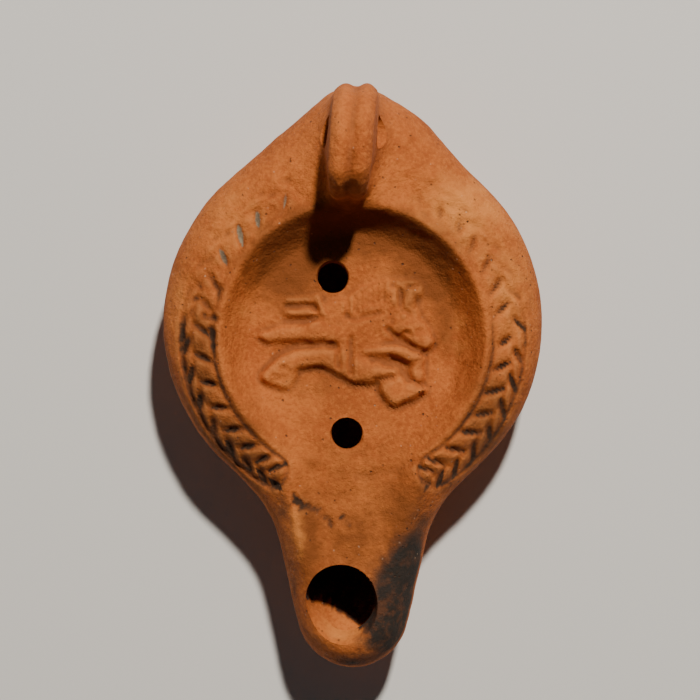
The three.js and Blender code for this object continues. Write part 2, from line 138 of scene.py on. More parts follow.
def crest_distance(x, y):
    """Distance to the crest of the rim: the discus' circle, opened in front by the channel."""
    discus = np.hypot(x, y) - DISCUS_RADIUS
    channel = tapered_slot(x, y, -CHANNEL_ROOT_REACH, CHANNEL_ROOT_RADIUS, -NOZZLE_REACH, CHANNEL_TIP_RADIUS)
    return smooth_min(discus, channel, CHANNEL_BLEND)


def sunken_depth(x, y):
    """Depth below the shoulder: deep at the back, shallower in front and along the channel."""
    in_front = DISCUS_DEPTH + (CHANNEL_DEPTH - DISCUS_DEPTH) * ramp(-2.0, -DISCUS_RADIUS, y)
    along = ramp(-DISCUS_RADIUS, -NOZZLE_REACH, y)
    depth = in_front + (CHANNEL_DEPTH_AT_TIP - in_front) * along
    return depth * ramp(0.0, -DISCUS_WALL_WIDTH, crest_distance(x, y))


def lug_swell(x, y):
    """The shoulder swells up round the handle's foot, as a bell curve of the distance to its middle."""
    away = np.hypot(x, y - np.clip(y, HANDLE_SUMMIT - 1.0, HANDLE_REAR - 4.0))
    return SWELL_HEIGHT * bell(away, SWELL_WIDTH)


def rim_roll(x, y):
    """Height of the rim's roll, a bell curve across the crest that fades beside the channel, and
    rises again a little beside the nozzle's left edge."""
    left_edge = 0.4 * ramp(-30.0, -35.0, y) * ramp(-52.0, -44.0, y) * (x < 0.0)
    kept = 0.25 + 0.75 * ramp(-22.0, -8.0, y) + left_edge
    return RIM_RISE * bell(crest_distance(x, y), RIM_WIDTH) * kept


def top_height(x, y, set_in=0.0):
    """Upper face: the seam's height, plus the rounded shoulder, less the sunken area, plus rim and swell."""
    inset = -plan_distance(x, y) - set_in
    edge = quarter_round(inset, SHOULDER_ROLL_WIDTH - set_in)
    height = SEAM_HEIGHT + (SHOULDER_RISE - set_in - sunken_depth(x, y)) * edge
    if set_in > 0.0:
        return height
    swell = lug_swell(x, y) * quarter_round(inset, SWELL_WIDTH)
    return height + swell + rim_roll(x, y) * quarter_round(inset, RIM_WIDTH)


def bottom_height(x, y, set_in=0.0):
    """Underside: a quarter round from the seam down to the foot, lifted at both ends, ridged behind."""
    inset = -plan_distance(x, y) - set_in
    lift = NOZZLE_KEEL_LIFT * ramp(-BODY_RADIUS * 0.7, -NOZZLE_TIP * 0.95, y)
    lift = lift + REAR_LIFT * ramp(BODY_RADIUS * 0.6, LUG_END, y)
    depth = (SEAM_HEIGHT - FOOT_HEIGHT - set_in - lift) * quarter_round(inset, BELLY_WIDTH - set_in)
    if set_in > 0.0:
        return SEAM_HEIGHT - depth
    ridge = bell(x, REAR_RIDGE_WIDTH) * ramp(FOOT_RADIUS - 1.0, FOOT_RADIUS + 4.0, y)
    ridge = REAR_RIDGE_HEIGHT * ridge * ramp(0.0, 3.0, inset) * ramp(0.0, 8.0, depth)
    return SEAM_HEIGHT - depth - ridge


samples = np.array([0.0, DISCUS_RADIUS, 33.0])
print("height over discus, rim and shoulder in mm:", top_height(samples, np.zeros(3)).round(2))

# %% [markdown]
# # Handmade unevenness
# Nothing on such a lamp is exact. A value noise, which mixes random numbers on a grid smoothly,
# gives gentle swellings and hollows. The random numbers come from a fixed seed, so that each run
# makes the same lamp.

# %% Value noise
LATTICE = np.random.default_rng(41).random((32, 32, 32))


def value_noise(points, size, shift=0.0):
    """Noise from -1 to 1: random values at the corners of cubes of that size, mixed with cubic steps."""
    scaled = points / size + shift
    cell = np.floor(scaled).astype(int)
    t = scaled - cell
    t = t * t * (3.0 - 2.0 * t)
    total = np.zeros(len(points))
    for corner in np.ndindex(2, 2, 2):
        weight = np.prod(np.where(corner, t, 1.0 - t), axis=1)
        index = (cell + corner) % len(LATTICE)
        total += weight * LATTICE[index[:, 0], index[:, 1], index[:, 2]]
    return 2.0 * total - 1.0


def plane_noise(x, y, size, shift=0.0):
    """The same noise for points of a plane."""
    points = np.stack([np.ravel(x), np.ravel(y), np.zeros(np.size(x))], axis=1)
    return value_noise(points, size, shift).reshape(np.shape(x))


# %% [markdown]
# # The leaf bands
# On each shoulder a sunk band holds two rows of slanting leaves, like a feather. Between two
# leaves the mould left a cut that is widest in its middle, so each cut is a lens with a V-shaped
# section. A list holds the angle of each cut, read off the lamp, with how worn it is: the cuts
# are fresh towards the nozzle and nearly gone at the back on the right.

# %% Leaf bands
def band_angle(x, y):
    """Degrees from straight sideways towards the handle, the same on both sides."""
    return np.degrees(np.arctan2(y, np.abs(x)))


BAND_INNER, BAND_OUTER, BAND_MIDDLE = 28.9, 35.8, 33.4
BAND_SINK = 0.7
BAND_END_ANGLE = -58.5
INNER_ROW, OUTER_ROW = 31.4, 34.5
INNER_LENGTH, OUTER_LENGTH = 4.9, 4.6
INNER_LEAN, OUTER_LEAN_LEFT, OUTER_LEAN_RIGHT = 36.0, 76.0, 52.0
LEFT_CUTS = [
    (73, 0.9), (63.4, 0.55), (51, 0.15), (42, 0.0), (31.5, 0.1), (21.6, 0.7), (12.5, 0.6), (2.7, 0.2),
    (-8, 0.05), (-18, 0.0), (-27.9, 0.0), (-37.8, 0.0), (-46.4, 0.0), (-53.7, 0.0), (-59.6, 0.1), (-65, 0.6),
]
RIGHT_CUTS = [
    (64, 0.6), (55, 0.5), (45.8, 0.42), (38, 0.38), (28.6, 0.3), (19.5, 0.2), (10.7, 0.1), (-1.8, 0.0),
    (-11.3, 0.0), (-21, 0.0), (-30.6, 0.0), (-39, 0.0), (-48, 0.0), (-55.9, 0.0), (-61, 0.2), (-66, 0.6),
]


def lens_cut(x, y, centre, angle, length, width, depth):
    """A cut pointed at both ends. Its half width is width * s and its depth falls as sqrt(s) along it,
    with s = 1 - (2u / length)^2; across it the depth falls in a straight line to 0."""
    u = (x - centre[0]) * math.cos(angle) + (y - centre[1]) * math.sin(angle)
    v = (y - centre[1]) * math.cos(angle) - (x - centre[0]) * math.sin(angle)
    s = np.clip(1.0 - (2.0 * u / length) ** 2, 1e-6, 1.0)
    return depth * np.sqrt(s) * np.clip(1.0 - np.abs(v) / (width * s), 0.0, 1.0)


def leaf_cuts(x, y):
    """All cuts of both rows: the inner row leans to the handle going outwards, the outer to the nozzle."""
    chance = np.random.default_rng(7)
    total = np.zeros_like(x)
    for side, cuts in ((-1.0, LEFT_CUTS), (1.0, RIGHT_CUTS)):
        for place, (degrees, worn) in enumerate(cuts[:-1]):
            turn, stretch = chance.normal(0.0, 3.0), 1.0 + 0.1 * chance.normal()
            inner = math.radians(degrees)
            outer = math.radians((degrees + cuts[place + 1][0]) / 2.0)
            fresh = 1.0 - worn
            kept = fresh**1.5 * float(ramp(46.0, -2.0, degrees))
            lean, wide, deep = (OUTER_LEAN_LEFT, 0.9, 1.6) if side < 0.0 else (OUTER_LEAN_RIGHT, 0.85, 1.25)
            rows = (
                (INNER_ROW, inner, math.radians(INNER_LEAN + turn), INNER_LENGTH, 0.85, 1.2 * fresh),
                (OUTER_ROW, outer, -math.radians(lean + turn), OUTER_LENGTH, wide, deep * kept),
            )
            for radius, at, slant, length, width, depth in rows:
                centre = (side * radius * math.cos(at), radius * math.sin(at))
                slant = at + slant if side > 0.0 else math.pi - (at + slant)
                total = np.maximum(total, lens_cut(x, y, centre, slant, length * stretch, width, depth))
    return total


def leaf_humps(x, y):
    """The leaves swell between their cuts: 1 - (2t - 1)^2 of the share t from one cut to the next."""
    radius, angle = np.hypot(x, y), band_angle(x, y)
    inner_row = radius < BAND_MIDDLE
    lean = np.where(inner_row, 0.7 * (radius - INNER_ROW) / radius, -1.4 * (radius - OUTER_ROW) / radius)
    slanted = angle - np.degrees(lean) + np.where(inner_row, 0.0, 5.0)
    shares = []
    for cuts in (LEFT_CUTS, RIGHT_CUTS):
        at = np.array([degrees for degrees, _ in cuts])
        shares.append(np.interp(-slanted, -at, np.arange(len(at))) % 1.0)
    share = np.where(x < 0.0, shares[0], shares[1])
    gap = ramp(0.0, 0.5, np.abs(radius - BAND_MIDDLE))
    return (1.0 - (2.0 * share - 1.0) ** 2) * gap


def band_distance(x, y):
    """Distance to the band: an arc of the shoulder with a round front end."""
    middle, half = (BAND_INNER + BAND_OUTER) / 2.0, (BAND_OUTER - BAND_INNER) / 2.0
    end = math.radians(BAND_END_ANGLE)
    past_end = band_angle(x, y) < BAND_END_ANGLE
    to_end = np.hypot(np.abs(x) - middle * math.cos(end), y - middle * math.sin(end))
    return np.where(past_end, to_end, np.abs(np.hypot(x, y) - middle)) - half


def band_relief(x, y):
    """Height added by the bands: sunk, with swelling leaves, cuts between them and a crease at each edge."""
    radius, angle = np.hypot(x, y), band_angle(x, y)
    worn = ramp(-8.0, 30.0, angle) * np.where(x > 0.0, 0.45, 0.35)
    fade = ramp(76.0, 58.0, angle) * (1.0 - worn)
    distance = band_distance(x, y) + 0.12 * plane_noise(x, y, 3.0, 9.0)
    inside = ramp(0.2, -0.5, distance)
    deeper = 1.0 + 1.2 * ramp(BAND_MIDDLE, BAND_OUTER, radius) * (x < 0.0)
    crease = 0.55 * deeper * bell(distance, 0.38) * ramp(30.0, -10.0, angle)
    seam = (x > 0.0) * ramp(72.0, 60.0, angle) * bell(radius - BAND_INNER, 0.45)
    crease = np.maximum(crease, 0.4 * seam)
    swell = 0.65 * leaf_humps(x, y) * ramp(0.0, -0.9, distance)
    cuts = leaf_cuts(x, y) * ramp(0.3, -0.2, distance)
    lumps = 0.3 * plane_noise(x, y, 2.3, 21.0) + 0.14 * plane_noise(x, y, 1.0, 23.0)
    lumps = lumps * ramp(1.5, -1.0, distance)
    lumps = lumps * ramp(-12.0, 12.0, angle) * ramp(80.0, 64.0, angle)
    return fade * (inside * (swell - BAND_SINK) - crease) + lumps - cuts * ramp(78.0, 70.0, angle)


print("cuts on each side, in two rows:", 2 * (len(LEFT_CUTS) - 1))

# %% [markdown]
# # The horse
# Low relief is modelled as soft pads. Each limb is a chain of tapered bars with a rounded
# section, and a smooth maximum melts them together. Fine lines, such as the mane, the jaw, the
# eye and the strap, are then pressed in as grooves. This keeps the horse a height over x and y.

# %% Pads and grooves
def bar_distance(x, y, start, end):
    """Distance to a segment, the share of the way along it, and the height above its line."""
    (ax, ay), (bx, by) = start[:2], end[:2]
    length2 = (bx - ax) ** 2 + (by - ay) ** 2
    share = np.clip(((x - ax) * (bx - ax) + (y - ay) * (by - ay)) / length2, 0.0, 1.0)
    above = y - ay - share * (by - ay)
    return np.hypot(x - ax - share * (bx - ax), above), share, above


def pad(x, y, chain, height, cliff):
    """A chain of bars of changing half width. With q as distance over half width, the side towards
    the handle slopes gently, 1 - q^2.6. The side towards the nozzle falls steeply, (1 - q^4)^0.7,
    as far as its cliff, 0 to 1, says."""
    total = np.zeros_like(x)
    for start, end in zip(chain[:-1], chain[1:]):
        distance, share, above = bar_distance(x, y, start, end)
        half_width = start[2] + share * (end[2] - start[2])
        q = np.clip(distance / half_width, 0.0, 1.0)
        steep = cliff * ramp(0.35, -0.65, above / half_width)
        total = np.maximum(total, height * ((1.0 - steep) * (1.0 - q**2.6) + steep * (1.0 - q**4) ** 0.7))
    return total


def groove(x, y, path, width, depth):
    """A pressed line: depth times a bell curve of the distance to the path."""
    near = np.full_like(x, 1e3)
    for start, end in zip(path[:-1], path[1:]):
        near = np.minimum(near, bar_distance(x, y, start, end)[0])
    return depth * bell(near, width)


def ring_groove(x, y, centre, radius, width, depth):
    """A pressed ring, worn on the nozzle's side: depth times a bell curve of the distance to a circle."""
    worn = 0.6 + 0.4 * np.tanh((y - centre[1]) / radius)
    return depth * worn * bell(np.hypot(x - centre[0], y - centre[1]) - radius, width)


# %% The horse's pads
PADS = {
    "back": ([(-6.4, 4.4, 3.2), (-2.5, 4.8, 3.8), (2.5, 5.0, 3.4)], 0.8, 0.2),
    "torso": ([(-7.0, 0.9, 3.6), (-3.2, -1.2, 5.2), (2.0, -2.5, 6.1), (3.6, -4.4, 5.3)], 1.7, 0.6),
    "belly": ([(-4.6, -4.3, 2.7), (-1.8, -5.0, 3.4), (0.6, -6.4, 3.3)], 2.1, 1.0),
    "chest": ([(0.9, -6.5, 3.4), (4.2, -6.8, 3.1)], 2.6, 1.0),
    "neck": ([(0.6, 1.6, 3.8), (5.6, 3.4, 5.2), (9.2, 4.6, 4.6)], 1.4, 0.2),
    "crest": (
        [(-0.8, 6.3, 2.2), (3.0, 8.1, 3.2), (7.0, 9.2, 3.3), (11.0, 9.6, 3.0), (12.7, 9.9, 2.3)],
        1.2, 0.3,
    ),
    "head": ([(10.0, 6.0, 3.7), (11.4, 2.9, 3.5), (13.7, 0.4, 2.9), (15.5, -1.4, 1.8)], 1.7, 0.6),
    "rear ear": ([(9.0, 10.7, 0.9), (8.5, 7.8, 1.5)], 1.7, 0.3),
    "near ear": ([(12.3, 10.8, 0.9), (11.7, 7.8, 1.7)], 1.8, 0.3),
    "far foreleg": ([(2.6, -2.9, 1.1), (8.0, -2.7, 1.4), (10.6, -3.3, 1.6), (13.2, -4.6, 1.9)], 2.1, 0.6),
    "knee": ([(13.2, -5.4, 1.9), (13.4, -8.0, 1.8)], 1.5, 0.3),
    "near foreleg": ([(2.4, -7.0, 2.2), (5.6, -7.1, 1.5), (8.6, -7.3, 1.2)], 2.2, 0.6),
    "pastern": ([(6.6, -8.9, 1.7), (9.4, -9.2, 2.0)], 1.9, 0.5),
    "front hoof": ([(7.5, -10.4, 2.3), (8.7, -12.2, 2.3), (12.0, -11.0, 2.2), (14.5, -10.9, 1.0)], 2.3, 1.0),
    "near hind leg": (
        [(-3.4, -3.6, 3.0), (-8.0, -3.9, 2.4), (-12.0, -4.6, 2.4), (-15.0, -6.2, 2.4), (-18.0, -8.1, 1.4)],
        2.1, 0.9,
    ),
    "hind hoof": ([(-13.4, -7.2, 2.2), (-14.3, -8.9, 2.2), (-17.8, -8.9, 1.0)], 1.4, 0.6),
    "far hind leg": ([(-5.0, 0.9, 2.2), (-10.0, 0.8, 2.1), (-15.0, 0.7, 1.9), (-18.4, 0.0, 1.4)], 1.3, 0.25),
    "tail": ([(-13.4, 5.1, 1.0), (-8.8, 5.2, 1.3)], 1.0, 0.5),
    "upper strand": ([(-13.6, 7.7, 0.8), (-8.4, 7.9, 1.2)], 0.6, 0.4),
    "plume": ([(-7.5, 8.3, 0.8), (-6.4, 5.4, 1.1), (-4.6, 3.0, 1.7)], 1.2, 0.1),
}
PAD_SHARPNESS = 5.0
LINES = [
    ([(-16.9, -4.4), (-15.3, -2.7), (-12.1, -1.8), (-6.2, -1.5), (-3.9, -1.6)], 0.85, 1.1),
    ([(-13.7, 6.6), (-12.0, 6.4), (-10.4, 6.6), (-8.7, 6.5), (-7.9, 5.7)], 0.45, 0.9),
    ([(-14.8, 3.7), (-12.0, 3.4), (-9.5, 3.6), (-7.9, 4.1)], 0.6, 0.8),
    ([(-19.3, -0.7), (-17.7, -1.9)], 0.45, 0.9),
    ([(7.3, 1.7), (8.6, 0.3), (10.2, -0.8), (12.0, -1.9), (12.6, -2.4)], 0.55, 1.0),
    ([(14.6, -3.4), (16.0, -2.7), (17.1, -1.5)], 0.4, 1.1),
    ([(4.4, -9.0), (6.8, -8.7), (8.5, -8.2)], 0.5, 0.8),
    ([(4.2, -4.9), (7.6, -5.1), (9.9, -5.9), (10.6, -7.6)], 1.1, 0.9),
    ([(11.2, -8.3), (12.8, -9.5), (14.8, -10.3)], 0.45, 0.85),
    ([(12.0, -5.7), (14.0, -5.0)], 0.45, 0.6),
    ([(-3.3, -2.6), (-3.1, -6.0)], 0.55, 0.75),
    ([(-0.4, -0.4), (-0.6, -7.8)], 0.55, 0.75),
    ([(8.4, 10.9), (9.3, 10.2), (9.9, 9.2), (9.9, 6.3)], 0.5, 1.1),
    ([(11.7, 10.5), (13.0, 10.7)], 0.5, 1.2),
    ([(-1.4, 4.3), (0.4, 3.8), (2.2, 4.3), (5.6, 5.0)], 0.55, 0.6),
    ([(8.2, 3.0), (8.6, 5.9)], 0.8, 0.6),
]
RINGS = [((10.6, 4.3), 1.15, 0.4, 0.95), ((14.3, 0.7), 0.8, 0.4, 0.75), ((11.0, 0.2), 0.75, 0.4, 0.9)]
RINGS += [((-4.6, -2.1), 0.5, 0.4, 1.0), ((-14.3, -7.0), 0.65, 0.38, 0.7), ((-16.5, -8.5), 0.6, 0.38, 0.6)]
MANE = [(-1.2, 5.0, 7.4), (0.5, 5.4, 8.4), (1.6, 6.4, 9.3), (2.7, 6.9, 9.9)]
MANE += [(3.8, 7.1, 10.5), (5.0, 7.3, 10.9), (6.2, 7.9, 11.1)]


def horse_relief(x, y):
    """Pads melted together, less the pressed lines. The melting is a smooth maximum: the fifth root
    of the sum of fifth powers, which leaves the ground between the pads at 0."""
    body = sum(pad(x, y, *shape) ** PAD_SHARPNESS for shape in PADS.values())
    body = body ** (1.0 / PAD_SHARPNESS)
    pressed = sum(groove(x, y, path, width, depth) for path, width, depth in LINES)
    pressed = pressed + sum(ring_groove(x, y, *ring) for ring in RINGS)
    for across, low, high in MANE:
        pressed = pressed + groove(x, y, [(across, low), (across + 0.1, high)], 0.4, 0.8)
    return body - pressed * ramp(-0.3, 0.5, body)


print("pads:", len(PADS), "and pressed lines:", len(LINES) + len(RINGS) + len(MANE))

# %% [markdown]
# # Wear on the upper face
# The clay has cracked beside the nozzle's root on the left, and the left band has lost small
# flakes. Both are grooves along short paths that noise pushes about and thins, because a clean
# line would look drawn. Use has also rounded every edge. A mean of the height over a small circle
# does the same and keeps the relief a function of x and y.

# %% All fine relief on the upper face
CRACKS = [
    [(-12.4, -32.6), (-10.6, -34.6), (-8.4, -35.8), (-6.0, -37.0)],
    [(-12.0, -34.2), (-9.6, -34.9), (-7.4, -36.2)],
    [(-11.2, -35.8), (-9.2, -35.3), (-6.6, -35.9)],
    [(-6.2, -36.9), (-4.6, -37.9), (-4.3, -39.0)],
    [(-2.4, -37.4), (-1.0, -37.9), (-0.7, -38.9)],
]
CRACK_WIDTH = 0.34
SPALLS = [
    [(-28.9, 12.0), (-27.4, 9.6), (-27.5, 7.6)],
    [(-30.6, 4.2), (-28.4, 3.4)],
    [(-33.8, -3.0), (-34.6, -7.0)],
    [(-34.9, 4.0), (-35.3, -1.0), (-35.0, -5.0)],
    [(-29.4, 1.6), (-28.7, -1.8)],
    [(-31.6, 9.6), (-32.8, 7.4)],
]
WEAR_REACH = 0.45


def ragged(x, y, paths, width, depth):
    """Grooves along paths that wander and break off: noise moves each point sideways and thins them."""
    across = x + 0.5 * plane_noise(x, y, 0.9, 5.0)
    along = y + 0.5 * plane_noise(x, y, 0.9, 6.0)
    deepest = np.zeros_like(x)
    for path in paths:
        deepest = np.maximum(deepest, groove(across, along, path, width, depth))
    return deepest * (0.7 + 0.6 * plane_noise(x, y, 1.3, 8.0))


def fresh_relief(x, y):
    """Bands, horse, cracks and spalls together, in millimetres, as they left the mould."""
    relief = band_relief(x, y)
    near = (x < 1.0) & (np.abs(y + 35.0) < 6.0)
    relief[near] -= ragged(x[near], y[near], CRACKS, CRACK_WIDTH, 0.8)
    near = (x < -25.0) & (np.abs(y - 3.0) < 12.0)
    relief[near] -= ragged(x[near], y[near], SPALLS, 0.7, 0.8)
    near = (np.abs(x + 1.5) < 19.0) & (np.abs(y + 1.0) < 15.0)
    relief[near] += horse_relief(x[near], y[near])
    return relief


def mean_around(x, y, reach, own_weight, places=6):
    """Mean of the fresh relief at a point, with a weight of its own, and at places on a ring round it."""
    total = own_weight * fresh_relief(x, y) if own_weight else np.zeros_like(x)
    for turn in np.arange(places) * 2.0 * math.pi / places:
        total = total + fresh_relief(x + reach * math.cos(turn), y + reach * math.sin(turn))
    return total / (own_weight + places)


def fine_relief(x, y):
    """Wear rounds every edge, so the relief is taken as a mean over a small reach."""
    return mean_around(np.asarray(x, dtype=float), np.asarray(y, dtype=float), WEAR_REACH, 2.0)


# %% [markdown]
# # From functions to a mesh
# The surface is drawn on a grid that goes out from the centre line to the outline in rings.
# One ring runs along the rim's crest, so that the grid follows the form. The rings go on round
# the edge and back underneath to the middle, which closes the shell. Welding then joins the
# first and the last ring on the centre line.

# %% Grid of the shell
def last_inside(inside, far, rounds):
    """The last places between 0 and far that are still inside, found by halving."""
    near = np.zeros_like(far)
    for _ in range(rounds):
        middle = (near + far) / 2.0
        within = inside(middle)
        near, far = np.where(within, middle, near), np.where(within, far, middle)
    return near


def outline(count, set_in):
    """Evenly spaced points of the line set in from the outline, round from the nozzle's tip."""
    angle = np.linspace(-math.pi / 2, 3 * math.pi / 2, 8001)
    cosine, sine = np.cos(angle), np.sin(angle)
    far = np.full_like(angle, NOZZLE_TIP + LUG_END)
    radius = last_inside(lambda r: plan_distance(r * cosine, r * sine) < -set_in, far, 44)
    x, y = radius * cosine, radius * sine
    travelled = np.concatenate([[0.0], np.cumsum(np.hypot(np.diff(x), np.diff(y)))])
    goal = travelled[-1] * np.arange(count) / count
    return np.interp(goal, travelled, x), np.interp(goal, travelled, y)


def shell_rings(count, inner, outer, below, set_in=0.0, relief=None):
    """Rings of points: over the top from the centre line to the edge, and back underneath."""
    edge_x, edge_y = outline(count, set_in)
    spine_y = -(NOZZLE_REACH - 3.0) * (1.0 - ramp(-NOZZLE_TIP * 0.93, -BODY_RADIUS * 0.3, edge_y))

    def below_crest(share):
        return crest_distance(share * edge_x, spine_y + share * (edge_y - spine_y)) < 0.0

    near = last_inside(below_crest, np.full(count, 0.9), 34)
    out = np.arange(outer + 1) / outer
    out = 0.45 * out + 0.55 * np.sin(out * math.pi / 2)
    upper = [near * (0.78 * i / inner + 0.22 * (i / inner) ** 3) for i in range(inner)]
    upper += [near + (1.0 - near) * share for share in out[:-1]]
    under = [np.full(count, math.cos(i / below * math.pi / 2)) for i in range(1, below + 1)]
    rings = []
    for shares, height in ((upper, top_height), ([np.ones(count)], None), (under, bottom_height)):
        for share in shares:
            x, y = share * edge_x, spine_y + share * (edge_y - spine_y)
            z = np.full(count, SEAM_HEIGHT) if height is None else height(x, y, set_in)
            if relief is not None and height is top_height:
                z = z + relief(x, y)
            rings.append(np.stack([x, y, z], axis=1))
    return np.array(rings)


# %% Mesh helpers
def add_object(name, data):
    """A new object of a mesh, a light or a camera, in the scene."""
    item = bpy.data.objects.new(name, data)
    bpy.context.scene.collection.objects.link(item)
    return item


def skin(rings, caps=False):
    """Triangles between rings of equal counts. With caps, each end closes on its middle."""
    if caps:
        first = np.repeat(rings[:1].mean(axis=1, keepdims=True), rings.shape[1], axis=1)
        last = np.repeat(rings[-1:].mean(axis=1, keepdims=True), rings.shape[1], axis=1)
        rings = np.concatenate([first, rings, last])
    rows, columns = rings.shape[:2]
    number = np.arange(rows * columns).reshape(rows, columns)
    a, b = number[:-1], np.roll(number[:-1], -1, axis=1)
    c, d = number[1:], np.roll(number[1:], -1, axis=1)
    faces = np.concatenate([np.stack([a, c, b], -1).reshape(-1, 3), np.stack([b, c, d], -1).reshape(-1, 3)])
    return rings.reshape(-1, 3), faces


def welded(points, faces, step=1e-4):
    """Joins points that lie within a step, and drops the triangles that this makes flat."""
    cells = np.round(points / step).astype(np.int64)
    _, first, place = np.unique(cells, axis=0, return_index=True, return_inverse=True)
    faces = place.reshape(-1)[faces]
    kept = (faces[:, 0] != faces[:, 1]) & (faces[:, 1] != faces[:, 2]) & (faces[:, 2] != faces[:, 0])
    return points[first], faces[kept]


def solid_object(name, points, faces):
    """A Blender object of a closed mesh, turned so that its volume is positive."""
    points, faces = welded(points, faces)
    a, b, c = (points[faces[:, k]] for k in range(3))
    if np.einsum("ij,ij->", a, np.cross(b, c)) < 0.0:
        faces = faces[:, ::-1]
    mesh = bpy.data.meshes.new(name)
    mesh.from_pydata(points.tolist(), [], faces.tolist())
    return add_object(name, mesh)


def combine(target, other, operation):
    """Joins or cuts target with other by a Boolean modifier, and removes other."""
    modifier = target.modifiers.new("combine", "BOOLEAN")
    modifier.operation, modifier.object, modifier.solver = operation, other, "MANIFOLD"
    evaluated = target.evaluated_get(bpy.context.evaluated_depsgraph_get())
    mesh = bpy.data.meshes.new_from_object(evaluated)
    target.modifiers.clear()
    old, target.data = target.data, mesh
    bpy.data.meshes.remove(old)
    bpy.data.objects.remove(other)


# %% Shell
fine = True
columns, inner, outer, below = (500, 104, 46, 14) if fine else (304, 52, 26, 14)
rings = shell_rings(columns, inner, outer, below, relief=fine_relief)
lamp = solid_object("terracotta_lamp", *skin(rings))
print("shell's triangles:", len(lamp.data.polygons))

# %% [markdown]
# # The lug handle
# The handle is a thick tab with two ribs over its edge. Its edge is an arch: steep and a little
# undercut in front, sloping behind. The mesh is the arch's path by the ribs' section, and every
# section runs in to one point inside the body, so that the tab is solid. Joined with the shell,
# the corner between them is sharp, so the points near it are then evened out to a soft fillet.

# %% Handle
ARCH_RISE_POWER, ARCH_REACH_POWER, UNDERCUT_POWER = 0.75, 0.8, 1.5
GROOVE_POWER, EDGE_POWER = 1.6, 2.2


def handle_skew(y):
    """How far the handle's middle lies to the right: it leans more towards the rear."""
    return HANDLE_SIDEWAYS + HANDLE_SKEW * (y - HANDLE_REAR) / (HANDLE_REAR - HANDLE_FRONT)


def handle_rings(steps, across):
    """Arch by section: the section has two half-round ribs, and flat sides that run in to the heart."""
    angle = np.radians(np.linspace(176.0, 4.0, steps))[:, None]
    lift = np.sin(angle) ** ARCH_RISE_POWER
    reach = np.where(np.cos(angle) < 0.0, HANDLE_SUMMIT - HANDLE_FRONT, HANDLE_REAR - HANDLE_SUMMIT)
    arch_y = HANDLE_SUMMIT + np.sign(np.cos(angle)) * reach * np.abs(np.cos(angle)) ** ARCH_REACH_POWER
    undercut = HANDLE_UNDERCUT * (1.0 - lift) ** UNDERCUT_POWER
    arch_y = arch_y + np.where(np.cos(angle) < 0.0, undercut, 0.0)
    foot = SEAM_HEIGHT + 2.0
    arch_z = foot + (HANDLE_HEIGHT - foot) * lift
    heart_y, heart_z = (HANDLE_SUMMIT + HANDLE_REAR) / 2.0 - 2.0, SEAM_HEIGHT + 3.0
    face = np.linspace(-1.0, 1.0, across)
    inward = np.linspace(0.0, 1.0, across + 1)[1:]
    share = np.concatenate([face, np.ones(across), [0.0], -np.ones(across)])[None, :]
    from_rib = np.abs(np.abs(share) - 0.5) / 0.5
    between_ribs, at_edge = HANDLE_GROOVE * from_rib**GROOVE_POWER, HANDLE_EDGE_ROUND * from_rib**EDGE_POWER
    sunk = np.where(np.abs(share) < 0.5, between_ribs, at_edge)
    sunk = sunk / np.hypot(arch_y - heart_y, arch_z - heart_z)
    way_in = np.concatenate([np.zeros(across), inward, [1.0], inward[::-1]])[None, :]
    depth = np.where(way_in > 0.0, sunk[:, :1] + (0.96 - sunk[:, :1]) * way_in, sunk)
    narrowing = ramp(HANDLE_SUMMIT, HANDLE_FRONT, arch_y)
    half_width = HANDLE_HALF_WIDTH + (HANDLE_FRONT_HALF_WIDTH - HANDLE_HALF_WIDTH) * narrowing
    x = share * (half_width + HANDLE_FLARE * depth) + handle_skew(arch_y) * (1.0 - depth)
    y = arch_y + depth * (heart_y - arch_y)
    z = arch_z + depth * (heart_z - arch_z)
    return np.stack(np.broadcast_arrays(x, y, z), axis=-1)


handle = solid_object("handle", *skin(handle_rings(84 if fine else 44, 22), caps=True))
print("handle's triangles:", len(handle.data.polygons))
combine(lamp, handle, "UNION")

# %% Fillet round the handle's foot
def rows_of(items, field, width, kind=float):
    """A field of all vertices or edges of a mesh, one row for each."""
    flat = np.empty(len(items) * width, dtype=kind)
    items.foreach_get(field, flat)
    return flat.reshape(-1, width)


def mesh_points(mesh):
    """All vertex positions."""
    return rows_of(mesh.vertices, "co", 3)


def set_points(mesh, points):
    """Writes all vertex positions."""
    mesh.vertices.foreach_set("co", points.ravel())
    mesh.update()


def even_out(mesh, weight, rounds):
    """Moves each point towards the mean of its neighbours by half its weight, several times."""
    points, pairs = mesh_points(mesh), rows_of(mesh.edges, "vertices", 2, np.int64)
    both = np.concatenate([pairs, pairs[:, ::-1]])
    count = np.maximum(np.bincount(both[:, 0], minlength=len(points)), 1)[:, None]
    for _ in range(rounds):
        ends = points[both[:, 1]]
        total = np.stack([np.bincount(both[:, 0], ends[:, k], len(points)) for k in range(3)], axis=1)
        points = points + 0.5 * weight[:, None] * (total / count - points)
    set_points(mesh, points)


def foot_weight(points):
    """1 where the handle's sides meet the shoulder, fading over about 2 mm up and out."""
    x, y, z = points.T
    above = z - top_height(x, y)
    sideways = np.maximum(np.abs(x - 0.6 * handle_skew(y)) - HANDLE_HALF_WIDTH - 1.0, 0.0)
    beside = np.hypot(sideways, np.maximum(29.0 - y, 0.0))
    near = ramp(3.6, 0.8, beside) * ramp(3.8, 1.0, np.abs(above))
    return near * ramp(25.0, 27.5, y) * ramp(SEAM_HEIGHT + 1.0, SEAM_HEIGHT + 4.0, z)


even_out(lamp.data, foot_weight(mesh_points(lamp.data)), 60 if fine else 25)
print("points evened out:", int((foot_weight(mesh_points(lamp.data)) > 0.05).sum()))

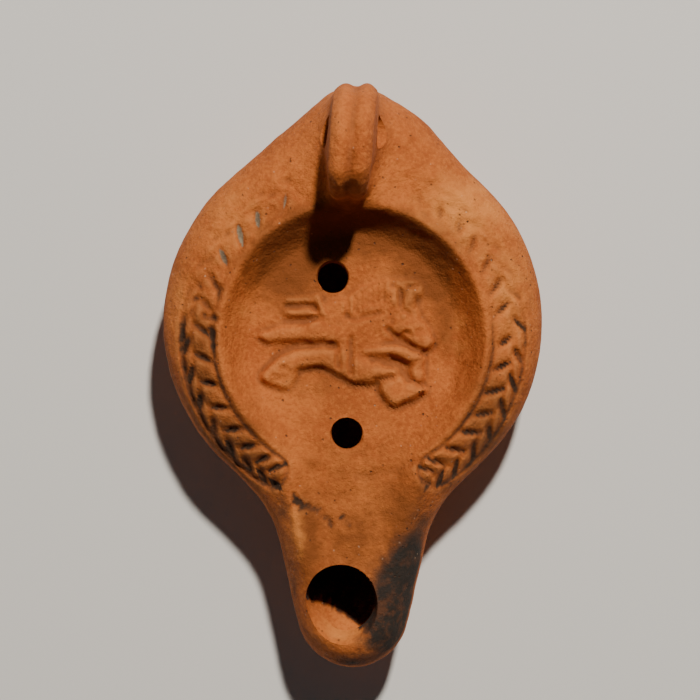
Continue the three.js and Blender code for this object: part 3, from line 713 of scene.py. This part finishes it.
# %% [markdown]
# # Foot, chamber and holes
# The foot ring is turned: a profile goes round the Z axis. The oil chamber is the shell's own
# function set in by the wall's thickness. The filling holes are punched, so their cutters flare a
# little at the top to leave a soft edge. The wick hole is a funnel whose front slopes to the lip.

# %% Foot ring and chamber
def turns(count):
    """Even angles all the way round."""
    return np.linspace(0.0, 2 * math.pi, count, endpoint=False)


def turned(profile, count, centre=(0.0, 0.0)):
    """Rings of a profile of (radius, height) turned round a vertical axis."""
    angle = turns(count)
    radius, height = np.array(profile).T[:, :, None]
    x, y = centre[0] + radius * np.cos(angle), centre[1] + radius * np.sin(angle)
    return np.stack([x, y, np.broadcast_to(height, x.shape)], axis=-1)


def cut(name, rings, caps=True):
    """Cuts the closed shape that these rings span out of the lamp."""
    combine(lamp, solid_object(name, *skin(rings, caps)), "DIFFERENCE")


foot_inner, foot_top = FOOT_RADIUS - FOOT_WIDTH, FOOT_HEIGHT + 1.6
foot_profile = [(FOOT_RADIUS + 1.4, foot_top), (FOOT_RADIUS + 0.4, 0.5), (FOOT_RADIUS, 0.12)]
foot_profile += [(FOOT_RADIUS - 0.5, 0.0), (foot_inner + 0.5, 0.0), (foot_inner, 0.12)]
foot_profile += [(foot_inner - 0.8, foot_top), (FOOT_RADIUS + 1.4, foot_top)]
combine(lamp, solid_object("foot", *skin(turned(foot_profile, 160))), "UNION")
cut("chamber", shell_rings(128, 10, 10, 14, set_in=WALL), caps=False)
print("triangles with foot and chamber:", len(lamp.data.polygons))

# %% Holes
FILLING_HOLE_RADIUS = 3.1
FILLING_HOLES = [(-4.2, 12.6), (-1.3, -19.9)]
FILLING_HOLE_FLARE = [(-0.7, 0.0), (-0.35, 0.08), (-0.1, 0.25), (0.1, 0.5), (3.0, 3.4)]
for hole_x, hole_y in FILLING_HOLES:
    rim = float(top_height(np.array([hole_x]), np.array([hole_y]))[0])
    profile = [(FILLING_HOLE_RADIUS, SEAM_HEIGHT)]
    profile += [(FILLING_HOLE_RADIUS + wider, rim + above) for above, wider in FILLING_HOLE_FLARE]
    cut("punch", turned(profile, 72, (hole_x, hole_y)))

WICK_HOLE_X, WICK_HOLE_REACH, WICK_LIP = -2.6, 53.8, 3.8
WICK_HOLE_HALF_WIDTH, WICK_HOLE_HALF_LENGTH = 7.0, 6.5
WICK_CHORD, WICK_CHORD_ANGLE, WICK_CHORD_WIDTH = 0.34, 232.0, 0.62
heights = SEAM_HEIGHT + SHOULDER_RISE + np.array([-11.5, -7.5, -6.0, -4.6, -3.4, -2.4, -1.5, 4.0])
opening = np.array([0.0, 0.0, 0.1, 0.3, 0.5, 0.66, 0.85, 2.2])[:, None]
flare = np.array([0.0, 0.0, 0.0, 0.0, 0.0, 0.03, 0.2, 2.6])[:, None]
angle = turns(96)[None, :]
lip = WICK_LIP * opening
chord = WICK_CHORD * bell(angle - math.radians(WICK_CHORD_ANGLE), WICK_CHORD_WIDTH)
chord = chord * np.clip(1.0 - 1.3 * opening, 0.0, 1.0)
wick_x = WICK_HOLE_X + (WICK_HOLE_HALF_WIDTH + 0.12 * lip + flare) * np.cos(angle) * (1.0 - chord)
half_length = WICK_HOLE_HALF_LENGTH + lip / 2.0 + flare
wick_y = -WICK_HOLE_REACH - lip / 2.0 + half_length * np.sin(angle) * (1.0 - chord)
cut("funnel", np.stack([wick_x, wick_y, np.broadcast_to(heights[:, None], wick_x.shape)], axis=-1))

HANDLE_BORE_RADIUS, HANDLE_BORE_REACH, HANDLE_BORE_HEIGHT = 3.1, 41.8, 33.6
bore_x = np.array([-20.0, -6.0, -4.9, -4.2, -3.4, 3.4, 4.2, 4.9, 6.0, 20.0])[:, None]
bore_radius = HANDLE_BORE_RADIUS + np.array([0.3, 0.3, 0.3, 0.12, 0.0, 0.0, 0.12, 0.3, 0.3, 0.3])[:, None]
angle = turns(48)[None, :]
bore_y = HANDLE_BORE_REACH + bore_radius * np.cos(angle)
bore_z = HANDLE_BORE_HEIGHT + bore_radius * np.sin(angle)
cut("bore", np.stack([np.broadcast_to(bore_x, bore_y.shape), bore_y, bore_z], axis=-1))
print("triangles with all holes:", len(lamp.data.polygons))

# %% [markdown]
# # Uneven surface, stains and painted light
# Noise moves every point a little along its normal, holes and handle included. The handle's front
# end is crumbly, so it gets more. Then each point gets its stain values, stored as attributes
# that the material reads; some of them also paint shade and highlights into the colour.
# Comparing a height with the mean round it tells hollows, which hold dirt and painted shade, from
# edges, which are rubbed pale and carry a painted highlight. Lists of soft blobs place soot, umber
# and pale patches, which also paint shade on the rear discus wall and the low shoulders and
# highlights on the lit shoulders. Lime lies in the worn leaves, and the wick hole is sooted and
# painted in shadow above a sandy lower wall with a painted highlight.

# %% Unevenness
# A turned grid hides the rows of the finest noise.
TURNED = np.array([[0.8, 0.36, 0.48], [-0.6, 0.48, 0.64], [0.0, -0.8, 0.6]])
points = mesh_points(lamp.data)
crumbly = ramp(32.0, 27.5, points[:, 1]) * ramp(38.0, 41.0, points[:, 2])
coarse = 0.16 * value_noise(points, 7.0, 2.0) + 0.08 * value_noise(points, 2.6, 7.0)
coarse += 0.05 * value_noise(points @ TURNED, 1.4, 9.0)
rough = 0.5 * value_noise(points, 1.4, 4.0) * crumbly
standing = ramp(0.0, 0.6, points[:, 2])
shift = (coarse - 0.14 + rough) * standing * np.where(points[:, 2] > SEAM_HEIGHT, 1.0, 0.8)
set_points(lamp.data, points + shift[:, None] * rows_of(lamp.data.vertices, "normal", 3))
print("largest unevenness in mm:", round(float(np.abs(shift).max()), 3))

# %% Stains as attributes
def blobs(x, y, places):
    """Sum of bell curves, each a place, two half widths and a strength."""
    total = np.zeros_like(x)
    for px, py, wide, long, strength in places:
        total += strength * np.exp(-(((x - px) / wide) ** 2) - ((y - py) / long) ** 2)
    return total


def store(name, values):
    """Writes a value for each of the lamp's points, kept between 0 and 1."""
    layer = lamp.data.attributes.new(name, "FLOAT", "POINT")
    layer.data.foreach_set("value", np.clip(values, 0.0, 1.0).astype(np.float32))


# Soot on the nozzle, with painted shade on the low right shoulder.
SOOT_AND_SHADE_PATCHES = [
    (9.8, -53.0, 6.0, 7.4, 1.5), (12.6, -46.5, 4.6, 5.0, 0.9), (7.0, -61.0, 5.5, 4.6, 1.4),
    (14.5, -40.0, 3.4, 7.0, 0.45), (0.0, -67.8, 9.0, 2.0, 0.8), (26.0, -22.0, 6.0, 6.5, 0.35),
    (18.0, -30.0, 5.0, 4.0, 0.4), (-14.8, -35.0, 2.6, 3.6, 0.45), (-12.4, -50.0, 1.8, 6.0, 0.5),
    (-11.0, -60.0, 2.0, 6.0, 0.4), (-34.5, 2.0, 1.8, 7.0, 0.3),
]
# Pale patches, with painted highlight on the lit rear shoulders, the outer rolls, the nozzle's left edge and
# the lip.
PALE_AND_HIGHLIGHT_PATCHES = [
    (-23.0, 3.0, 4.5, 8.0, 0.3), (22.5, 1.0, 4.5, 7.0, 0.3), (-26.0, 24.0, 9.0, 9.0, 0.5),
    (24.0, 27.0, 11.0, 9.0, 0.9), (-11.8, -41.0, 2.2, 6.0, 0.8), (-2.0, -62.0, 8.0, 2.2, 0.6),
    (33.0, 10.0, 6.0, 12.0, 0.6), (-37.0, 8.0, 3.0, 12.0, 0.5),
]
# Umber stain on the nozzle, with painted shade on the rear discus wall and the low shoulders.
UMBER_AND_SHADE_PATCHES = [
    (-14.0, 14.0, 9.0, 8.0, 1.2), (0.0, 22.0, 17.0, 6.0, 1.2), (15.0, 14.0, 7.0, 8.0, 1.1),
    (19.5, 2.0, 3.0, 8.0, 0.7), (0.0, -42.0, 16.0, 12.0, 0.75), (-9.5, -41.0, 2.2, 9.0, 0.7),
    (-31.5, -5.0, 3.5, 16.0, 0.9), (12.0, -38.0, 5.0, 12.0, 0.6), (29.0, -18.0, 6.0, 12.0, 0.9),
    (-4.0, -8.0, 12.0, 8.0, 0.45), (-26.0, -24.0, 8.0, 10.0, 1.0), (0.0, -25.0, 14.0, 6.0, 0.3),
]
CAVITY_REACH = 1.3
points = mesh_points(lamp.data)
x, y, z = points.T
on_top = ramp(SEAM_HEIGHT + 1.0, SEAM_HEIGHT + 5.0, z) * ramp(6.0, 2.0, z - top_height(x, y))
wobble = 0.8 + 0.35 * value_noise(points, 3.2, 11.0) + 0.2 * value_noise(points, 1.1, 13.0)
cavity = mean_around(x, y, CAVITY_REACH, 0.0, 8) - fine_relief(x, y)
angle = band_angle(x, y)
low_down = ramp(40.0, -20.0, angle)
outer_left = (x < 0.0) * ramp(BAND_MIDDLE, BAND_OUTER, np.hypot(x, y))
crease = bell(band_distance(x, y), 0.5 + 0.4 * outer_left) * ramp(22.0, -8.0, angle)
cracked = ragged(x, y, CRACKS, 0.7, 1.0) + ragged(x, y, SPALLS, 0.8, 0.8)
# Dirt and painted shade in the leaf cuts, band creases and cracks, stronger towards the nozzle.
hollow_dirt_and_shade = ramp(0.15, 0.7, leaf_cuts(x, y)) * (0.45 + 0.55 * low_down) + 0.7 * crease + cracked
store("grime_and_shade", on_top * hollow_dirt_and_shade * wobble)
on_handle = ramp(4.0, 8.0, z - top_height(x, y)) * ramp(24.0, 27.0, y)
# Dirt and painted shade along the handle's groove, and painted shade on the handle's front end.
handle_groove_and_front_shade = on_handle * bell(x - handle_skew(y), 0.7) + on_handle * ramp(32.0, 26.5, y)
# Painted shade and dirt in the hollows of the relief.
store("hollow_dirt_and_shade", on_top * ramp(0.02, 0.5, cavity) + 0.8 * handle_groove_and_front_shade * wobble)
# Painted highlight on the convex edges of the relief, with rubbing.
store("rubbed_and_highlight", on_top * ramp(0.02, 0.45, -cavity))
in_wall = (z < bottom_height(x, y, WALL) - 0.6) | (plan_distance(x, y) > -3.0)
in_hole = ramp(-0.6, -2.0, z - top_height(x, y)) * ramp(-40.0, -44.0, y) * ~in_wall
# Edge of a painted shadow in the wick hole: above it soot and painted shadow, below it a sandy lip with a
# painted highlight.
hole_shadow_edge = np.where(x < 1.5, -54.4 - 0.65 * np.maximum(x + 7.1, 0.0), -59.9 + 0.7 * (x - 1.5))
hole_shadow_edge = hole_shadow_edge + 0.7 * plane_noise(x, y, 3.0, 3.0)
hole_soot_and_shadow = in_hole * ramp(-0.3, 0.5, y - hole_shadow_edge)
lit_sandy_lip = in_hole * ramp(0.5, -0.3, y - hole_shadow_edge)
soot_and_shade_spots = on_top * blobs(x, y, SOOT_AND_SHADE_PATCHES) * (0.4 + 0.6 * wobble) * (1.0 - lit_sandy_lip * (x < 2.0))
# Soot, with painted shade on the low right shoulder and painted shadow in the wick hole.
store("soot_and_shadow", soot_and_shade_spots + 2.0 * hole_soot_and_shadow)
# Pale patches and painted highlight, with a painted highlight on the lit lip of the wick hole.
store("pale", on_top * blobs(x, y, PALE_AND_HIGHLIGHT_PATCHES) * wobble + 0.25 * lit_sandy_lip)
# Umber, partly painted shade on the rear discus wall and the low shoulders.
store("umber_and_shade", on_top * blobs(x, y, UMBER_AND_SHADE_PATCHES) * (0.5 + 0.5 * wobble))
lime = ramp(0.2, 0.6, leaf_cuts(x, y)) * ramp(9.0, 18.0, y) * ramp(2.0, -8.0, x)
store("lime", on_top * lime)
print("points with soot:", int((blobs(x, y, SOOT_AND_SHADE_PATCHES) > 0.3).sum()))

# %% Millimetres to metres, at the lamp's place
set_points(lamp.data, (mesh_points(lamp.data) + np.array([0.0, DISCUS_TO_ORIGIN, 0.0])) / 1000.0)
lamp.data.shade_smooth()
lamp.data.set_sharp_from_angle(angle=math.radians(48.0))
print("lamp's size in metres:", [round(d, 4) for d in lamp.dimensions])

# %% [markdown]
# # Clay
# Fired clay is matt and never one colour: it is mottled in large soft patches, finely speckled,
# and dotted with dark and pale grains. Each of these effects is a node group with named inputs
# that gives only a colour or a value, so that it can be used again. A third group gives each
# stain a ragged edge, and the masks of painted shade and painted highlight too. One shader then
# takes the results, layer by layer, some of which paint shade and highlights into the colour.

# %% Node helpers
def node(tree, kind, inputs=None, **settings):
    """Adds a node, sets its fields, and sets or links its inputs by name or number."""
    item = tree.nodes.new(kind)
    for key, value in settings.items():
        setattr(item, key, value)
    for key, value in (inputs or {}).items():
        if isinstance(value, bpy.types.NodeSocket):
            tree.links.new(value, item.inputs[key])
        else:
            item.inputs[key].default_value = value
    return item


def new_group(name, inputs, outputs):
    """A shader node group with named sockets, and its two end nodes. An input that starts with
    nothing is a vector, one with four numbers a colour, and one with a number a value."""
    tree = bpy.data.node_groups.new(name, "ShaderNodeTree")
    for label, value in inputs.items():
        kind = "Vector" if value is None else "Color" if isinstance(value, tuple) else "Float"
        socket = tree.interface.new_socket(label, in_out="INPUT", socket_type="NodeSocket" + kind)
        if value is not None:
            socket.default_value = value
    for label, kind in outputs.items():
        tree.interface.new_socket(label, in_out="OUTPUT", socket_type="NodeSocket" + kind)
    return tree, tree.nodes.new("NodeGroupInput").outputs, tree.nodes.new("NodeGroupOutput")


def mix_colour(tree, share, a, b):
    """A colour mix of a and b by share."""
    inputs = {0: share, 6: a, 7: b}
    return node(tree, "ShaderNodeMix", inputs, data_type="RGBA", clamp_factor=True).outputs[2]


def remap(tree, value, low, high, to_low=0.0, to_high=1.0):
    """A smooth remap of value from low..high to to_low..to_high."""
    inputs = {"Value": value, "From Min": low, "From Max": high, "To Min": to_low, "To Max": to_high}
    return node(tree, "ShaderNodeMapRange", inputs, interpolation_type="SMOOTHSTEP").outputs[0]


def maths(tree, operation, *values, **settings):
    """A calculation with its values in order."""
    return node(tree, "ShaderNodeMath", dict(enumerate(values)), operation=operation, **settings).outputs[0]


def noise(tree, vector, scale, detail, roughness):
    """Both outputs of a noise texture, its value and its colour."""
    inputs = {"Vector": vector, "Scale": scale, "Detail": detail, "Roughness": roughness}
    return node(tree, "ShaderNodeTexNoise", inputs).outputs


# %% Mottling group
mottle, given, result = new_group(
    "Clay mottling",
    {
        "Vector": None, "Light clay": (0.6, 0.24, 0.08, 1), "Dark clay": (0.4, 0.13, 0.04, 1),
        "Patch size": 60.0, "Speckle size": 1100.0,
    },
    {"Colour": "Color"},
)
patches = noise(mottle, given["Vector"], given["Patch size"], 5.0, 0.62)[0]
speckle = noise(mottle, given["Vector"], given["Speckle size"], 3.0, 0.6)[0]
colour = mix_colour(mottle, remap(mottle, patches, 0.3, 0.72), given["Dark clay"], given["Light clay"])
colour = mix_colour(mottle, remap(mottle, speckle, 0.45, 0.68, 0.0, 0.55), colour, given["Light clay"])
colour = mix_colour(mottle, remap(mottle, speckle, 0.5, 0.32, 0.0, 0.55), colour, given["Dark clay"])
mottle.links.new(colour, result.inputs["Colour"])

# %% Grain group
BEND = (0.0009, 0.0009, 0.0009)
grain, given, result = new_group(
    "Clay grain",
    {"Vector": None, "Grain size": 1500.0, "Pit size": 1200.0, "Wave size": 300.0},
    {"Height": "Float", "Dark grains": "Float", "Pale grains": "Float"},
)
fine_value, fine_colour = list(noise(grain, given["Vector"], given["Grain size"], 5.0, 0.7))[:2]
bending = {0: fine_colour, 1: BEND, 2: given["Vector"]}
bent = node(grain, "ShaderNodeVectorMath", bending, operation="MULTIPLY_ADD").outputs[0]
cells = node(grain, "ShaderNodeTexVoronoi", {"Vector": bent, "Scale": given["Pit size"], "Randomness": 1.0})
chosen = node(grain, "ShaderNodeSeparateColor", {"Color": cells.outputs["Color"]})
pit = remap(grain, cells.outputs["Distance"], 0.05, 0.38, 1.0, 0.0)
dark = maths(grain, "MULTIPLY", pit, remap(grain, chosen.outputs[0], 0.93, 1.0))
pale = maths(grain, "MULTIPLY", pit, remap(grain, chosen.outputs[1], 0.965, 1.0))
broad = noise(grain, given["Vector"], given["Wave size"], 3.0, 0.5)[0]
waves = maths(grain, "MULTIPLY_ADD", broad, 1.6, fine_value)
sunk = maths(grain, "MULTIPLY_ADD", dark, -1.2, waves)
for label, socket in (("Height", sunk), ("Dark grains", dark), ("Pale grains", pale)):
    grain.links.new(socket, result.inputs[label])

# %% Ragged edges for stains and for painted shade and highlight
stain, given, result = new_group(
    "Ragged stain",
    {"Vector": None, "Amount": 0.0, "Raggedness": 0.5, "Size": 260.0, "Thinness": 0.0},
    {"Mask": "Float"},
)
tattered = noise(stain, given["Vector"], given["Size"], 6.0, 0.7)[0]
centred = maths(stain, "SUBTRACT", tattered, 0.5)
moved = maths(stain, "MULTIPLY_ADD", centred, given["Raggedness"], given["Amount"])
faded = remap(stain, given["Amount"], 0.0, 0.3)
worn_through = maths(stain, "MULTIPLY", remap(stain, tattered, 0.45, 0.65), given["Thinness"])
left = maths(stain, "SUBTRACT", faded, worn_through, use_clamp=True)
stain.links.new(maths(stain, "MULTIPLY", remap(stain, moved, 0.05, 0.95), left), result.inputs["Mask"])

# %% Terracotta material
clay = bpy.data.materials.new("terracotta")
clay.use_nodes = True
tree = clay.node_tree
shader = tree.nodes["Principled BSDF"]
place = node(tree, "ShaderNodeTexCoord").outputs["Object"]


def use_group(group, **inputs):
    """Adds a group to the material. Underscores in names stand for spaces."""
    named = {key.replace("_", " "): value for key, value in inputs.items()}
    return node(tree, "ShaderNodeGroup", named, node_tree=group).outputs


def amount_of(name):
    """The value of one of the lamp's attributes."""
    return node(tree, "ShaderNodeAttribute", attribute_name=name).outputs["Fac"]


def ragged_mask(name, raggedness, size, thinness=0.0):
    """The ragged mask of one of the lamp's attributes."""
    edge = {"Raggedness": raggedness, "Size": size, "Thinness": thinness}
    return use_group(stain, Vector=place, Amount=amount_of(name), **edge)["Mask"]


LIGHT_CLAY, DARK_CLAY = (0.62, 0.174, 0.034, 1), (0.38, 0.086, 0.014, 1)
surface = use_group(mottle, Vector=place, Light_clay=LIGHT_CLAY, Dark_clay=DARK_CLAY)["Colour"]
grains = use_group(grain, Vector=place)
layers = [
    # Umber stain, partly painted shade on the rear discus wall and the low shoulders.
    (ragged_mask("umber_and_shade", 1.2, 260.0), (0.23, 0.06, 0.01, 1)),
    # Pale patches, partly painted highlight on the lit shoulders, the nozzle's left edge and the lip.
    (ragged_mask("pale", 1.0, 200.0), (0.7, 0.235, 0.05, 1)),
    # Painted shade and dirt in hollows, in the handle's groove and on its front end.
    (maths(tree, "MULTIPLY", amount_of("hollow_dirt_and_shade"), 0.6), (0.16, 0.05, 0.016, 1)),
    # Painted highlight on convex edges, with rubbing.
    (maths(tree, "MULTIPLY", amount_of("rubbed_and_highlight"), 0.22), (0.78, 0.3, 0.085, 1)),
    (ragged_mask("lime", 0.6, 420.0), (0.26, 0.2, 0.13, 1)),
    # Dirt and painted shade in the leaf cuts, creases and cracks.
    (ragged_mask("grime_and_shade", 1.0, 600.0), (0.05, 0.022, 0.01, 1)),
    # Soot, with painted shadow in the wick hole and painted shade on the low right shoulder.
    (ragged_mask("soot_and_shadow", 1.2, 380.0, 0.15), (0.028, 0.021, 0.016, 1)),
    (grains["Dark grains"], (0.13, 0.06, 0.035, 1)),
    (maths(tree, "MULTIPLY", grains["Pale grains"], 0.5), (0.7, 0.45, 0.28, 1)),
]
for mask, colour in layers:
    surface = mix_colour(tree, mask, surface, colour)
tree.links.new(surface, shader.inputs["Base Color"])
bump = node(tree, "ShaderNodeBump", {"Height": grains["Height"], "Strength": 0.85, "Distance": 0.0005})
tree.links.new(bump.outputs[0], shader.inputs["Normal"])
shader.inputs["Roughness"].default_value = 0.82
shader.inputs["Specular IOR Level"].default_value = 0.28
lamp.data.materials.clear()
lamp.data.materials.append(clay)
lamp.data.polygons.foreach_set("material_index", np.zeros(len(lamp.data.polygons), dtype=np.int32))
print("material's nodes:", len(tree.nodes))

# %% Hand the lamp to the frame
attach(lamp, "root")
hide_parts("oil_lamp")

# %% [markdown]
# # Floor, light and camera
# The lamp stands on a plain pale floor. The photograph is taken almost straight from above with
# the light from behind on the right, which lays each shadow towards the viewer and shows the low
# relief. So the key light stands there, and a weak wide light fills the shadows.

# %% Floor
floor_mesh = bpy.data.meshes.new("floor")
FLOOR_HALF = 3.0
corners = [(FLOOR_HALF * a, FLOOR_HALF * b, 0.0) for a, b in ((-1, -1), (1, -1), (1, 1), (-1, 1))]
floor_mesh.from_pydata(corners, [], [(0, 1, 2, 3)])
floor = add_object("floor", floor_mesh)
paper = bpy.data.materials.new("pale_floor")
paper.use_nodes = True
paper.node_tree.nodes["Principled BSDF"].inputs["Base Color"].default_value = (0.72, 0.7, 0.67, 1)
paper.node_tree.nodes["Principled BSDF"].inputs["Roughness"].default_value = 0.9
floor.data.materials.append(paper)

# %% Light
def area_light(name, azimuth, elevation, distance, size, power, colour):
    """A square soft light that looks at the lamp from an azimuth, from +X towards +Y, and an elevation."""
    data = bpy.data.lights.new(name, "AREA")
    data.size, data.energy, data.color = size, power, colour
    item = add_object(name, data)
    a, e = math.radians(azimuth), math.radians(elevation)
    item.location = Vector((math.cos(a) * math.cos(e), math.sin(a) * math.cos(e), math.sin(e))) * distance
    item.rotation_euler = (-item.location).to_track_quat("-Z", "Y").to_euler()


KEY = {"azimuth": 73.0, "elevation": 57.0, "distance": 1.2, "size": 0.07, "power": 19.5}
FILL = {"azimuth": 215.0, "elevation": 50.0, "distance": 1.4, "size": 1.2, "power": 0.4}
area_light("key", colour=(1.0, 0.95, 0.87), **KEY)
area_light("fill", colour=(0.95, 0.97, 1.0), **FILL)
world = bpy.data.worlds.new("studio")
world.use_nodes = True
world.node_tree.nodes["Background"].inputs["Color"].default_value = (0.9, 0.92, 1.0, 1)
world.node_tree.nodes["Background"].inputs["Strength"].default_value = 0.03
bpy.context.scene.world = world

# %% Camera
FOCAL_PIXELS, IMAGE_PIXELS, SENSOR_MM = 2470.0, 700.0, 36.0
CAMERA_DISTANCE, CAMERA_ELEVATION = 0.52, 88.0
TARGET = Vector((-0.00063, (DISCUS_TO_ORIGIN - 2.44) / 1000.0, SEAM_HEIGHT / 1000.0))
camera_data = bpy.data.cameras.new("camera")
camera_data.sensor_width = SENSOR_MM
camera_data.lens = FOCAL_PIXELS / IMAGE_PIXELS * SENSOR_MM
camera = add_object("camera", camera_data)
tilt = math.radians(CAMERA_ELEVATION)
camera.location = TARGET + Vector((0.0, -math.cos(tilt), math.sin(tilt))) * CAMERA_DISTANCE
camera.rotation_euler = (TARGET - camera.location).to_track_quat("-Z", "Y").to_euler()
bpy.context.scene.camera = camera
print("camera's lens in mm:", round(camera_data.lens, 1))
